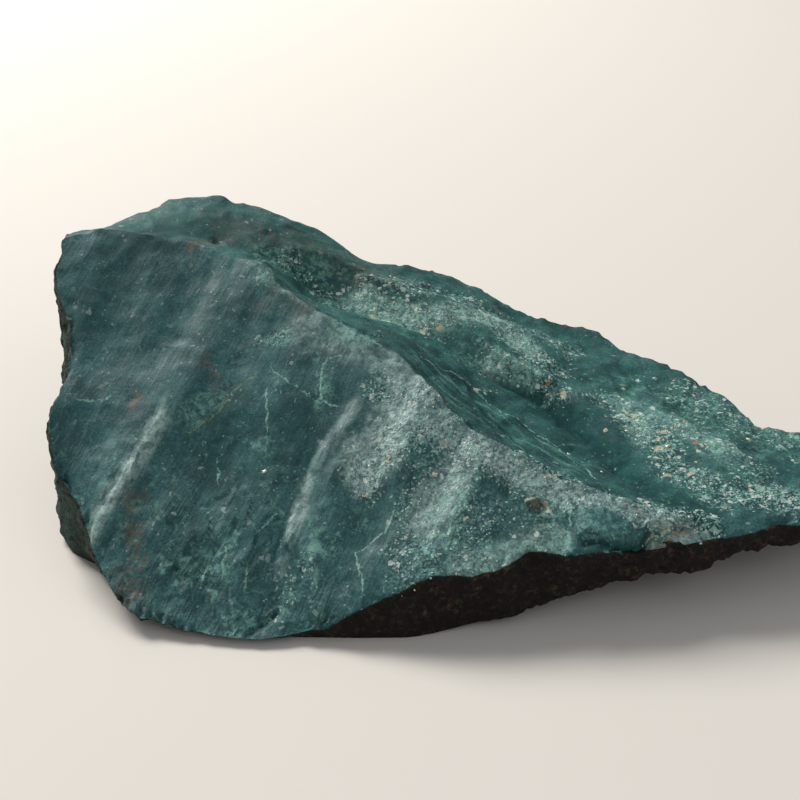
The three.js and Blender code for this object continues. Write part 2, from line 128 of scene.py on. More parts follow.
# Ground painted darker: painted shade in the hollow behind the crest and below the step, darker ground elsewhere
DARK_AND_SHADED_BANDS = [
    (3.5, 0.3, [(-12, 3), (-5, 4.5), (3, 0.5), (9, -4)]),
    (3.5, 0.8, [(9, -4), (13, -10), (16, -15)]),
    (3.0, 0.25, [(2, 5.2), (6, 4), (9, 1.2)]),
    (3.0, 1.0, [(9.4, 0.4), (10.6, -1.5), (13, -5), (15, -12), (18, -17), (24, -19.4)]),
    (4.0, 0.6, [(-48, 6), (-42, 14), (-36, 18)]),
    (3.0, 0.6, [(24, 5), (28.5, 1), (32, -4)]),
    (4.0, 0.5, [(-30, -8), (-32, -14), (-35, -20)]),
    (3.5, 0.6, [(-23, -8), (-25.5, -14), (-27, -20)]),
    (2.5, 0.5, [(1, -17.6), (3.5, -21), (4, -24)]),
    (2.5, 0.6, [(-13.5, -17.5), (-15, -22)]),
]
# Soft green patches
MINT_BANDS = [
    (2.2, 0.8, [(-27, 8), (-27.4, 15), (-22.5, 16.5), (-18, 17.5)]),
    (2.4, 0.8, [(-18, 12.5), (-14.6, 14.5)]),
    (1.8, 0.8, [(-26.5, 0.6), (-24, 0)]),
    (1.8, 1.0, [(-17.8, 0.8), (-14, -0.8)]),
    (1.6, 0.7, [(-19.8, -4), (-19.5, -7.5)]),
    (2.0, 0.6, [(-31.5, -5), (-34.5, -7)]),
    (1.2, 0.7, [(-26.6, -10.6), (-26, -11.2)]),
    (1.8, 0.6, [(-35, -22.5), (-29.5, -23)]),
    (1.8, 0.7, [(-28.4, -28.6), (-26, -28)]),
    (2.6, 0.8, [(-4, -18), (-4.6, -22.5), (-7, -26)]),
    (2.6, 0.8, [(-2.6, -26), (4, -24.5), (10, -23)]),
    (2.2, 0.8, [(5.5, -20.5), (8.4, -20.5)]),
    (2.2, 0.6, [(10, -21), (14, -22.8)]),
    (3.0, 0.5, [(-2, 8), (6, 6)]),
    (5.0, 0.4, [(18, 7), (26, 2), (31, -6)]),
    (5.0, 0.5, [(36, 4), (42, -6), (47, -12)]),
]
# Ground that is stained brown
RUST_BANDS = [
    (1.3, 1.0, [(4.6, -20.2), (5.2, -20.1)]),
    (1.0, 1.0, [(-42.1, -5.4), (-41.7, -5.5)]),
    (1.6, 0.9, [(-35.6, 12.3), (-33.8, 16)]),
    (4.0, 0.35, [(-32, 18), (-22, 19.5), (-12, 18)]),
    (1.3, 0.6, [(-40.3, -15.5), (-40, -19.2), (-39.4, -22)]),
    (2.5, 0.5, [(-40.4, -23.2), (-40.2, -26)]),
    (1.2, 0.4, [(-34, -2), (-32, -4)]),
    (2.0, 0.35, [(-26, 5.5), (-22, 4.2)]),
    (1.2, 0.8, [(17.4, -23.2), (19.7, -22.5), (21.9, -22.4)]),
    (4.0, 0.4, [(42, 2), (47, -2)]),
]
# Healed veins: hue (0 mint, 1 yellow-green, 2 cream), then their way in plan
VEINS = [
    (0.0, [(-16.3, -2.5), (-18.9, -2.8), (-19.6, -3.8), (-19.5, -7.2), (-18.0, -7.8)]),
    (0.2, [(-25.8, -3), (-22.8, -5.3), (-19.7, -7.4)]),
    (0.9, [(-25.9, -2.9), (-30.1, -5.1), (-31.7, -7.2), (-34.6, -8.8)]),
    (0.0, [(-24.5, -18.7), (-25.9, -20)]),
    (0.1, [(-2.8, -18.3), (-4.4, -20.4), (-4.9, -22.8)]),
    (0.0, [(-3, -18.2), (-1.9, -17.6)]),
    (0.3, [(5.8, -21.8), (6.2, -24.1)]),
    (0.0, [(8.5, -19.1), (8.3, -21.5), (7.7, -23.7)]),
    (0.0, [(-11, -19.8), (-12.1, -21.8), (-15.1, -23.2), (-14.2, -27)]),
    (0.0, [(-25.9, -5.6), (-25.7, -9.4)]),
    (0.1, [(-47.8, -5.1), (-45.5, -5.1), (-44.4, -4.5)]),
    (0.0, [(-31.4, -12), (-31, -13.6)]),
    (2.0, [(3.7, -19.3), (4.9, -18.9), (6.1, -19.9), (6.0, -21.4)]),
    (2.0, [(16.2, -23.6), (17.2, -22.7), (18.6, -22.3), (20.3, -22.2), (21.9, -21.6)]),
    (0.3, [(-29.6, -21.2), (-29.8, -23.9)]),
    (0.3, [(-31.9, -23.8), (-31.3, -22.2)]),
    (0.3, [(-27.1, -23.4), (-27.2, -25.2)]),
    (0.0, [(-6.9, 1.6), (-1.7, 1.9), (3, -2), (8.3, -6.5), (11.8, -14.3)]),
]
# Open cracks: how wide and how deep, then their way in plan
CRACKS = [
    (0.9, 0.9, [(9.7, -23.9), (11.3, -24), (13.4, -24.9), (15.6, -24.6)]),
    (0.5, 0.5, [(15.6, -24.6), (16.9, -22.4), (18.6, -22), (20.3, -22), (21.6, -21.3)]),
    (0.5, 0.35, [(-35.6, -22.2), (-34.4, -23.8)]),
    (0.6, 0.6, [(-23.8, -27.4), (-25.2, -28.4), (-26.4, -29.4)]),
]
# Tilted ribbons on the front, low on one side: how wide and how high, then the way of their low side in plan
RIBBONS = [
    (1.6, 0.18, [(-38.4, -7), (-41.2, -12), (-44.4, -17), (-46.6, -20)]),
    (1.6, 0.22, [(-16.7, -8.7), (-18.8, -10.9), (-20.8, -13.5), (-22.7, -18.6), (-24.2, -22.6)]),
]
# The crest between the front and the back slope, in plan
CREST = [
    (-51.3, 14), (-47, 14.7), (-41.7, 13.5), (-36.6, 12.9), (-30.2, 10.6), (-27.5, 9.2), (-24.3, 5.7), (-18.7, 1.8),
    (-12.3, -1.8), (-9.8, -3.2), (-6.3, -7.9), (-1.8, -12), (4.1, -14.9), (7.2, -16.8), (16.2, -19.6), (21.5, -21.1),
    (34.6, -18.2), (43.7, -14.2), (54, -7),
]
# The height of the thin front edge along x; the old outer skin begins below it
RIM_LINE = [
    (-54, 16), (-51, 14.6), (-50, 11), (-46.5, 8.5), (-44.5, 5.5), (-41, 2.6), (-36, 1.7), (-25, 0.9), (-21, 1.2),
    (-17.5, 2.5), (-12, 5), (-7, 7.2), (-2, 7.2), (0.5, 7.6), (3.5, 9), (9, 8.6), (15, 8.8), (24, 8.8), (31, 9.2),
    (37, 9.1), (43, 8.6), (48, 8), (51, 7.4), (54, 6.2),
]
# Small holes: x, y, radius and depth
PITS = [(4.8, -20.1, 1.0, 1.0), (-12.3, -2.6, 1.2, 0.6), (-33.8, 15.5, 0.9, 0.4), (-42, -5.4, 0.6, 0.2)]

# The breakage: how wide its shapes are, and how high they stand
SHELLS, SHELL_HEIGHT = 5.0, 0.16
SMALL_SHELLS, SMALL_SHELL_HEIGHT = 2.1, 0.08
LUMPS, LUMP_HEIGHT = 1.2, 0.03
HACKLES, NARROW_HACKLES, HACKLE_HEIGHT = 3.4, 1.4, 0.055
FLAKES, FLAKE_LENGTH, FLAKE_HEIGHT = 2.0, 5.0, 0.30
LEDGES, LEDGE_HEIGHT = 1.1, 0.26
CRYSTAL_LUMPS, CRYSTAL_HEIGHT = 0.8, 0.07
RIND_LUMPS, RIND_SWELLS, RIND_HEIGHT = 1.6, 4.5, 0.35
CHIPS, CHIP_DEPTH = 2.7, 0.9
SMALL_CHIPS, SMALL_CHIP_DEPTH = 1.1, 0.5
LIP_HEIGHT = 0.28
NOISE_SEED = 3


def fade(value, low, high):
    """0 below low, 1 above high, and a smooth rise between."""
    t = min(max((value - low) / (high - low), 0.0), 1.0)
    return t * t * (3.0 - 2.0 * t)


def beside_path(place, path, reach):
    """How far a place is from a path in plan, with the sign of its side; nothing where it is out of reach."""
    best = reach
    side = 1.0
    for (ax, ay), (bx, by) in zip(path, path[1:]):
        if not min(ax, bx) - reach < place.x < max(ax, bx) + reach:
            continue
        if not min(ay, by) - reach < place.y < max(ay, by) + reach:
            continue
        dx, dy = bx - ax, by - ay
        px, py = place.x - ax, place.y - ay
        t = min(max((px * dx + py * dy) / (dx * dx + dy * dy), 0.0), 1.0)
        off = math.hypot(px - dx * t, py - dy * t)
        if off < best:
            best = off
            side = 1.0 if px * dy < py * dx else -1.0
    return (best, side) if best < reach else None


def level_at(x, line):
    """The height of a line at x, straight between its points."""
    for (ax, az), (bx, bz) in zip(line, line[1:]):
        if x < bx:
            return az + (bz - az) * (x - ax) / (bx - ax)
    return line[-1][1]


def pull(place, bands):
    """How strongly a place belongs to some bands with soft edges."""
    most = 0.0
    for reach, strength, path in bands:
        beside = beside_path(place, path, reach) if strength > most else None
        if beside:
            most = max(most, strength * (1.0 - fade(beside[0] / reach, 0.3, 1.0)))
    return most


def fine_body(node, name, levels):
    """A smoothed, finely divided copy of a solid with its sharp edges kept, and places along its thin edges."""
    shape = bmesh.new()
    shape.from_mesh(node.data)
    bmesh.ops.remove_doubles(shape, verts=shape.verts, dist=0.01 * MM)
    crease = shape.edges.layers.float.new("crease_edge")
    rims = []
    for edge in shape.edges:
        angle = edge.calc_face_angle(0.0)
        edge[crease] = 0.9 * fade(angle, SOFT_ANGLE, SHARP_ANGLE)
        if angle > RIM_ANGLE and edge.is_convex:
            steps = math.ceil(edge.calc_length() / (0.5 * MM))
            rims += [edge.verts[0].co.lerp(edge.verts[1].co, (k + 0.5) / steps) / MM for k in range(steps)]
    bmesh.ops.join_triangles(
        shape,
        faces=shape.faces,
        angle_face_threshold=math.radians(20),
        angle_shape_threshold=math.radians(55),
    )
    coarse = bpy.data.meshes.new(name + "_coarse")
    shape.to_mesh(coarse)
    shape.free()
    piece = bpy.data.objects.new(name, coarse)
    bpy.context.scene.collection.objects.link(piece)
    smoothing = piece.modifiers.new("smoothing", "SUBSURF")
    smoothing.levels = smoothing.render_levels = levels
    dressed = piece.evaluated_get(bpy.context.evaluated_depsgraph_get())
    piece.data = bpy.data.meshes.new_from_object(dressed)
    piece.data.name = name
    piece.modifiers.clear()
    return piece, rims


def scallops(spot):
    """Dishes about one unit wide that meet at sharp ridges: near -1 in their middles, up to 1 on the ridges."""
    distances = noise.voronoi(spot)[0]
    return min(5.0 * distances[0] ** 2 - 1.0, 1.5)


def hackles(place):
    """Long shallow scars that run down the front, with sharp ridges between them."""
    across = place.dot(ACROSS_FRONT) + 1.6 * noise.noise(place / 8.0)
    down = place.dot(DOWN_FRONT) + 2.0 * noise.noise(place / 3.0)
    wide = scallops(Vector((across / HACKLES, down / 16.0, 2.3)))
    narrow = scallops(Vector((across / NARROW_HACKLES, down / 8.0, 5.1)))
    return 0.6 * wide + 0.4 * narrow


def flakes(place):
    """Thin scales that broke off down the front: how far each stands out, from 0 to 1, and its free edge."""
    bend = 1.2 * noise.noise(place / 3.0)
    spot = Vector((place.dot(ACROSS_FRONT) / FLAKES + bend, place.dot(DOWN_FRONT) / FLAKE_LENGTH, 0.0))
    distances, middles = noise.voronoi(spot)
    lean = spot - middles[0]
    height = min(max(0.5 + 0.8 * lean.x - 0.5 * lean.y, 0.0), 1.0)
    border = distances[1] - distances[0]
    edge = (1.0 - fade(border, 0.0, 0.16)) * fade(height, 0.45, 0.8)
    height *= fade(border, -0.1, 0.3)
    return height, edge


def terraces(level, sharpness):
    """Turns a smooth height into steps, and gives how far that moves it."""
    step = math.floor(level)
    return step + fade(level - step, 0.5 - 0.5 * sharpness, 0.5 + 0.5 * sharpness) - level


def chips(place, length):
    """Chips in a row along a thin edge: 0 where it is whole, 1 where a chip is deepest."""
    along = (place.x - 0.5 * place.y) / length + 0.5 * noise.noise(place / 3.0)
    chip = math.floor(along)
    lost = fade(noise.cell(Vector((1.37 * chip, length, 0.5))), -0.3, 0.8)
    return lost * (1.0 - abs(2.0 * (along - chip) - 1.0)) ** 0.6


class Ground:
    """What one place of the stone's skin is like: a share from 0 to 1 for each kind of ground, and some distances."""

    def __init__(self, place, normal, rim_gap):
        # Places are moved about a little, so that no border follows its path exactly
        wander = Vector((noise.noise(place / 2.5), noise.noise(place / 2.5 + Vector((9, 9, 9))), 0))
        moved = place + 1.6 * wander
        gap, side = beside_path(place + 0.25 * wander, CREST, 200.0)
        self.behind = gap * side
        self.front = fade(-normal.y, 0.1, 0.4) * fade(normal.z, 0.25, 0.5)
        self.above = fade(normal.z, 0.0, 0.35)
        self.rough = self.front * fade(-0.75 * place.y - 0.2 * place.x, 13.0, 21.0) * fade(-place.x, 10.0, 20.0)
        self.layers = (
            self.above
            * (1.0 - self.front)
            * fade(place.x, -14.0, -4.0)
            * fade(-place.x, -18.0, -9.0)
            * (1.0 - fade(abs(place.dot(ACROSS_LAYERS) + 3.8), 3.5, 6.0))
        )
        self.crystals = pull(moved, CRYSTAL_BANDS) * self.above
        self.mint = pull(moved, MINT_BANDS) * self.above
        near = place + 0.5 * wander
        self.milk_and_sheen = pull(near, FRONT_MILK_AND_SHEEN_BANDS) * self.above * (1.0 - fade(self.behind, -0.1, 0.3))
        self.milk_and_sheen = max(self.milk_and_sheen, pull(near, BACK_MILK_AND_SHEEN_BANDS) * self.above)
        self.dark_and_shade = pull(moved, DARK_AND_SHADED_BANDS) * self.above
        # Steep faces and faces turned down behind the crest are painted in shade
        self.dark_and_shade = max(self.dark_and_shade, 0.55 * (1.0 - self.above) * fade(self.behind, 3.0, 8.0))
        self.rust = pull(moved, RUST_BANDS)
        # Painted highlight along the crest's front edge and painted shade just behind it
        self.crest = fade(place.x, -32.0, -24.0) * (1.0 - fade(place.x, 17.0, 24.0))
        edge_light = fade(self.behind, -0.8, -0.1) * (1.0 - fade(self.behind, 0.0, 0.1))
        self.milk_and_sheen = max(self.milk_and_sheen, 0.6 * self.crest * edge_light)
        self.dark_and_shade = max(self.dark_and_shade, self.crest * fade(self.behind, 0.0, 0.15) * (1.0 - fade(self.behind, 0.6, 1.6)))
        # The old rind is left under the rim, low on the sides, on the thick end and in patches behind; under the rim
        # and on faces turned down its near-black paint is also painted shade
        self.rim = 1.0 - fade(rim_gap, 0.2, 1.5)
        patch = 0.3 * noise.noise(place / 6.0)
        drop = level_at(place.x, RIM_LINE) - place.z + 0.4 * patch
        below_rim = fade(drop, -0.5, 0.9) * fade(-place.y, 3.0, 6.0) * (1.0 - fade(normal.z, 0.6, 0.8))
        low_sides = (1.0 - fade(normal.z + patch, -0.45, -0.1)) * (1.0 - fade(place.z - 14.0 * patch, 5.0, 12.0))
        self.thick_end = fade(-normal.x + 0.5 * patch, 0.4, 0.8) * fade(-place.x, 38.0, 44.0)
        back_wall = (1.0 - fade(normal.z, 0.15, 0.5)) * fade(self.behind, 3.0, 8.0) * (0.62 - 0.02 * place.z)
        self.rind = max(below_rim, low_sides, self.thick_end, back_wall)
        self.flake_edge = 0.0
        self.ribbon_sheen = 0.0
        self.vein = 3.0
        self.vein_gap = 3.0
        self.vein_hue = 0.0
        for hue, path in VEINS:
            beside = beside_path(place, path, 3.0)
            if beside and beside[0] < self.vein_gap:
                self.vein_gap = beside[0]
                self.vein = beside[0] * beside[1]
                self.vein_hue = hue

    def relief(self, place):
        """How far the fine breakage stands out of the smoothed solid here."""
        fresh = 1.0 - self.rind
        bend = 0.5 * noise.noise_vector(place / 3.0)
        height = (SHELL_HEIGHT - 0.12 * self.front) * scallops(place / SHELLS + bend)
        height += (SMALL_SHELL_HEIGHT - 0.04 * self.front) * scallops(place / SMALL_SHELLS + bend)
        height += LUMP_HEIGHT * noise.fractal(place / LUMPS, 0.8, 2.0, 3)
        height += self.front * HACKLE_HEIGHT * hackles(place)
        if self.rough > 0.01:
            flake, self.flake_edge = flakes(place)
            self.flake_edge *= self.rough
            height += self.rough * FLAKE_HEIGHT * (flake - 0.5)
        if self.layers > 0.01:
            level = place.dot(ACROSS_LAYERS) / LEDGES + 0.9 * noise.noise(place / 5.0)
            height += self.layers * LEDGE_HEIGHT * terraces(level, 0.3)
        height += self.crystals * CRYSTAL_HEIGHT * noise.fractal(place / CRYSTAL_LUMPS, 0.6, 2.0, 3)
        lumps = RIND_HEIGHT * noise.fractal(place / RIND_LUMPS, 0.7, 2.0, 3)
        height += self.rind * (lumps + RIND_HEIGHT * noise.noise(place / RIND_SWELLS))
        # The rim is bitten less at the back, and not at all high up
        bitten = (1.0 - 0.5 * fade(place.y, -8.0, -2.0)) * (1.0 - fade(place.z, 22.0, 26.0))
        bite = CHIP_DEPTH * chips(place, CHIPS) + SMALL_CHIP_DEPTH * chips(place, SMALL_CHIPS)
        height -= self.rim * fresh * bitten * bite
        if abs(self.behind) < 2.0:
            near = 1.0 - fade(-self.behind, 0.0, 1.6)
            lip = near * (1.0 - fade(self.behind, 0.0, 0.35))
            height += LIP_HEIGHT * self.crest * lip * (0.6 + noise.noise(place / 2.0))
        if self.above * fresh > 0.1:
            for width, depth, path in CRACKS:
                beside = beside_path(place, path, width)
                if beside:
                    height -= depth * (1.0 - beside[0] / width)
                    # The open cracks are painted in shade as well as cut in
                    self.dark_and_shade = max(self.dark_and_shade, 1.0 - beside[0] / width)
            for width, stand, path in RIBBONS:
                beside = beside_path(place, path, 2.0 * width)
                if beside:
                    across = beside[0] * beside[1] / width
                    # The raised side of each ribbon is painted with a sheen
                    self.ribbon_sheen = fade(across, 0.0, 0.2) * (1.0 - fade(across, 0.8, 1.5))
                    height += stand * fade(across, 0.0, 0.5) * (1.0 - fade(across, 0.7, 2.0))
                    height -= 0.4 * stand * (1.0 - fade(abs(across), 0.0, 0.25))
            for x, y, radius, depth in PITS:
                off = math.hypot(place.x - x, place.y - y) / radius
                if off < 1.0:
                    height -= depth * math.sqrt(1.0 - off)
        return height


noise.seed_set(NOISE_SEED)
stone, rim_places = fine_body(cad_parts["jasper"], "rough_jasper", 2)
rims = kdtree.KDTree(len(rim_places))
for index, place in enumerate(rim_places):
    rims.insert(place, index)
rims.balance()


def divide(shape, wanted):
    """Halves the sides of the faces that are wanted."""
    faces = [face for face in shape.faces if wanted(face.calc_center_median() / MM, face.normal)]
    edges = list(dict.fromkeys(edge for face in faces for edge in face.edges))
    bmesh.ops.subdivide_edges(shape, edges=edges, cuts=1, use_grid_fill=True)
    bmesh.ops.triangulate(shape, faces=[face for face in shape.faces if len(face.verts) > 4])
    shape.normal_update()


def wants_finer(middle, normal):
    """The front rim, the crystal ground and the scaly ground need small faces."""
    if middle.y < -14.0 and rims.find(middle)[2] < 0.8:
        return True
    if middle.z < 2.0 or normal.z < 0.1:
        return False
    return pull(middle, CRYSTAL_BANDS) > 0.6 or math.hypot(middle.x + 28, middle.y + 22) < 8.0


def is_by_crack(middle, normal):
    """The open cracks need the smallest faces of all."""
    return normal.z > 0.1 and any(beside_path(middle, crack[2], 0.9) for crack in CRACKS)


body = bmesh.new()
body.from_mesh(stone.data)
body.normal_update()
divide(body, wants_finer)
divide(body, is_by_crack)

# What the material reads from the mesh
LAYERS = ["front", "crystals", "mint", "milk_and_sheen", "dark_and_shade", "rust", "rim", "rind", "ribbon_sheen"]
LAYERS += ["behind", "rough", "layers", "thick_end", "flake_edge", "vein", "vein_gap", "vein_hue"]
stores = {name: body.verts.layers.float.new(name) for name in LAYERS}
low, high = cad_box
for vertex in body.verts:
    place = vertex.co / MM
    ground = Ground(place, vertex.normal, rims.find(place)[2])
    height = ground.relief(place) * fade(place.z, SOLE_LEVEL, 2.0)
    for name, store in stores.items():
        vertex[store] = getattr(ground, name)
    if place.z > SOLE_LEVEL:
        moved = vertex.co + vertex.normal * (height * MM)
        vertex.co = [min(max(moved[k], low[k]), high[k]) for k in range(3)]
body.normal_update()
for face in body.faces:
    face.smooth = True
for edge in body.edges:
    edge.smooth = edge.calc_face_angle(0.0) < BREAK_ANGLE
crystal_ground = [
    (vertex.co / MM, vertex.normal.copy(), vertex[stores["crystals"]])
    for vertex in body.verts
    if vertex.normal.z > 0.2
]
body.to_mesh(stone.data)
body.free()


class Wire:
    """An output of a shader node. Sums on it add Math nodes to its material."""

    def __init__(self, finish, socket):
        self.finish = finish
        self.socket = socket

    def math(self, operation, *values):
        """A sum worked out by one Math node."""
        return self.finish.node("ShaderNodeMath", {"operation": operation}, dict(enumerate(values)))

    def __add__(self, other):
        return self.math("ADD", self, other)

    def __radd__(self, other):
        return self.math("ADD", other, self)

    def __sub__(self, other):
        return self.math("SUBTRACT", self, other)

    def __rsub__(self, other):
        return self.math("SUBTRACT", other, self)

    def __mul__(self, other):
        return self.math("MULTIPLY", self, other)

    def __rmul__(self, other):
        return self.math("MULTIPLY", other, self)

    def __abs__(self):
        return self.math("ABSOLUTE", self)

    def most(self, other):
        """The larger of two."""
        return self.math("MAXIMUM", self, other)

    def rise(self, low, high):
        """0 below low, 1 above high, and a smooth rise between."""
        return self.finish.node(
            "ShaderNodeMapRange",
            {"interpolation_type": "SMOOTHSTEP"},
            {"Value": self, "From Min": low, "From Max": high},
        )

    def fall(self, low, high):
        """1 below low, 0 above high, and a smooth fall between."""
        return 1 - self.rise(low, high)


class Finish:
    """A material in the making, with its patterns laid out in millimetres."""

    def __init__(self, name):
        self.material = bpy.data.materials.new(name)
        self.material.use_nodes = True
        self.tree = self.material.node_tree
        self.surface = self.tree.nodes["Principled BSDF"]
        metres = self.node("ShaderNodeTexCoord", {}, {}, "Object")
        self.place = self.node("ShaderNodeVectorMath", {"operation": "SCALE"}, {0: metres, "Scale": 1000.0})

    def node(self, kind, settings, inputs, output=0):
        """A new node: its type, its settings, and then the values or wires of its sockets."""
        made = self.tree.nodes.new(kind)
        for name, value in settings.items():
            setattr(made, name, value)
        for name, value in inputs.items():
            if isinstance(value, Wire):
                self.tree.links.new(value.socket, made.inputs[name])
            else:
                made.inputs[name].default_value = value
        return Wire(self, made.outputs[output])

    def measure(self, name):
        """What the mesh says of each place, under a name."""
        return self.node("ShaderNodeAttribute", {"attribute_name": name}, {}, "Fac")

    def turned(self, angle, sizes):
        """Places in a frame turned about the vertical, stretched along its axes."""
        inputs = {"Vector": self.place, "Rotation": (0, 0, angle), "Scale": sizes}
        return self.node("ShaderNodeMapping", {"vector_type": "TEXTURE"}, inputs)

    def cloud(self, size, detail=3.0, rough=0.55, warp=0.0, place=None):
        """Soft patches of about one size."""
        inputs = {"Vector": place or self.place, "Scale": 1 / size}
        inputs.update({"Detail": detail, "Roughness": rough, "Distortion": warp})
        return self.node("ShaderNodeTexNoise", {}, inputs)

    def over(self, under, paint, share):
        """One colour laid over another, by a share."""
        return self.node("ShaderNodeMix", {"data_type": "RGBA"}, {0: share, 6: under, 7: paint}, 2)

    def feed(self, socket, wire):
        """Joins a wire to a socket of the surface."""
        self.tree.links.new(wire.socket, self.surface.inputs[socket])


DEEP_TEAL = (0.014, 0.062, 0.065, 1)
TEAL = (0.030, 0.114, 0.115, 1)
PALE_TEAL = (0.070, 0.185, 0.175, 1)
DEEP_GREEN = (0.017, 0.110, 0.092, 1)
NIGHT_GREEN = (0.004, 0.042, 0.042, 1)
MINT = (0.20, 0.44, 0.35, 1)
VEIN = (0.27, 0.52, 0.43, 1)
LEAF = (0.16, 0.24, 0.07, 1)
FROST = (0.35, 0.54, 0.48, 1)
# A grey green for painted sheen and milky ground
SHEEN_ASH = (0.38, 0.50, 0.465, 1)
MILK = (0.60, 0.68, 0.60, 1)
CREAM = (0.64, 0.59, 0.40, 1)
AMBER = (0.50, 0.22, 0.05, 1)
RUST = (0.16, 0.065, 0.02, 1)
BARK_AND_SHADE = (0.006, 0.0045, 0.0035, 1)
BROWN = (0.026, 0.013, 0.008, 1)
OLIVE = (0.046, 0.068, 0.046, 1)
MOSS = (0.022, 0.052, 0.040, 1)

skin = Finish("jasper")
skin.surface.inputs["Specular IOR Level"].default_value = 0.3

# What the mesh says of each place
front = skin.measure("front")
crystals = skin.measure("crystals")
milk_and_sheen = skin.measure("milk_and_sheen")
dark_and_shade = skin.measure("dark_and_shade")
rind = skin.measure("rind")
layers = skin.measure("layers")
behind = skin.measure("behind")
back = behind.rise(0.0, 1.5)
rough = skin.measure("rough")

# Clouds of falling size, streaks that run down the front, and seams along the thin layers
patches = skin.cloud(6.0, 4.0, 0.6, 0.6)
wisps = skin.cloud(2.2, 4.0, 0.65, 1.0)
crumbs = skin.cloud(0.7, 3.0, 0.7, 0.4)
grain = skin.cloud(0.28, 1.0, 0.6)
streaks = skin.cloud(1.0, 3.0, 0.65, 0.4, skin.turned(-0.468, (0.6, 4.0, 5.0)))
seams = skin.cloud(1.0, 3.0, 0.6, 0.2, skin.turned(-0.694, (14.0, 0.8, 2.0)))

# The body of the stone, from its large patches down to its grain
colour = skin.over(DEEP_TEAL, TEAL, patches.rise(0.36, 0.56))
colour = skin.over(colour, DEEP_GREEN, back * wisps.rise(0.36, 0.54) * 0.9)
colour = skin.over(colour, PALE_TEAL, streaks.rise(0.50, 0.70) * (0.48 + 0.15 * rough - 0.38 * back))
# Painted sheen on the raised side of the ribbons
colour = skin.over(colour, SHEEN_ASH, skin.measure("ribbon_sheen") * streaks.rise(0.36, 0.60) * 0.3)
colour = skin.over(colour, DEEP_TEAL, wisps.fall(0.38, 0.50) * 0.7)
colour = skin.over(colour, PALE_TEAL, crumbs.rise(0.52, 0.70) * 0.4 + grain.rise(0.54, 0.70) * 0.4)
colour = skin.over(colour, DEEP_TEAL, grain.fall(0.34, 0.46) * 0.5)
colour = skin.over(colour, NIGHT_GREEN, back * patches.fall(0.42, 0.50) * 0.35)
# Painted shade in the hollows and cracks, below the step and behind the crest, with darker ground in the other bands
colour = skin.over(colour, NIGHT_GREEN, dark_and_shade * (0.5 + 0.45 * wisps.fall(0.42, 0.62)))
colour = skin.over(colour, NIGHT_GREEN, layers * seams.fall(0.42, 0.50) * 0.8)
colour = skin.over(colour, MINT, layers * seams.rise(0.56, 0.66) * 0.35)
# Milky stone and painted sheen, torn into streaks and crumbs
torn = streaks.rise(0.24, 0.50) * (0.3 + 0.7 * crumbs.rise(0.40, 0.58)) * (0.4 + 0.6 * wisps.rise(0.40, 0.52))
milky_and_sheen = milk_and_sheen * milk_and_sheen * 0.2 + milk_and_sheen * torn
colour = skin.over(colour, skin.over(SHEEN_ASH, MINT, 0.1 + 0.55 * back), milky_and_sheen * 0.9)

bend = skin.node("ShaderNodeTexNoise", {}, {"Vector": skin.place, "Scale": 1.4, "Detail": 4.0}, "Color")


def bent(size):
    """Places moved about, so that straight lines and edges on them wander."""
    off = skin.node("ShaderNodeVectorMath", {"operation": "SCALE"}, {0: bend, "Scale": size})
    return skin.node("ShaderNodeVectorMath", {"operation": "ADD"}, {0: skin.place, 1: off})


def net(size, line):
    """Fine lines that branch and meet like healed cracks."""
    inputs = {"Vector": bent(0.8 * size), "Scale": 1 / size}
    gap = skin.node("ShaderNodeTexVoronoi", {"feature": "DISTANCE_TO_EDGE"}, inputs, "Distance")
    return gap.fall(0.0, line / size)


cracks = net(3.4, 0.08) * milk_and_sheen.most(front * 0.4) * wisps.rise(0.40, 0.56)
colour = skin.over(colour, NIGHT_GREEN, cracks * 0.8)

mint = skin.measure("mint")
healed = net(7.0, 0.11) * patches.rise(0.50, 0.60) * crumbs.rise(0.40, 0.60)
webs = net(2.6, 0.13) * mint * wisps.rise(0.42, 0.58)
mint_and_edge_sheen = mint * crumbs.rise(0.44, 0.62) * wisps.rise(0.36, 0.56)
# The free edges of the flakes are painted mint, as pale worn edges and as painted highlight
mint_and_edge_sheen = mint_and_edge_sheen.most(skin.measure("flake_edge") * wisps.rise(0.42, 0.58) * 0.8)
colour = skin.over(colour, MINT, mint_and_edge_sheen.most(webs).most(healed * 0.8) * 0.8)

wiggle = (skin.cloud(1.1, 3.0) - 0.5) * 1.0
vein_line = abs(skin.measure("vein") + wiggle)
vein = vein_line.fall(0.0, 0.18) * skin.measure("vein_gap").fall(0.5, 0.9) * crumbs.rise(0.38, 0.56)
vein_hue = skin.measure("vein_hue")
vein_paint = skin.over(skin.over(VEIN, LEAF, vein_hue), CREAM, vein_hue - 1)
colour = skin.over(colour, vein_paint, vein * 0.8)


def quartz(size, share):
    """Angular grains cut by the surface: where they show, and a number that differs from one to the next."""
    inputs = {"Vector": bent(0.8 * size), "Scale": 1 / size}
    gap = skin.node("ShaderNodeTexVoronoi", {"feature": "DISTANCE_TO_EDGE"}, inputs, "Distance")
    lot = skin.node("ShaderNodeTexVoronoi", {}, inputs, "Color")
    chance = skin.node("ShaderNodeSeparateColor", {}, {0: lot}, 0)
    spread = skin.node("ShaderNodeSeparateColor", {}, {0: lot}, 1)
    return gap.rise(0.05, 0.14) * (chance + share).rise(0.97, 1.03), spread


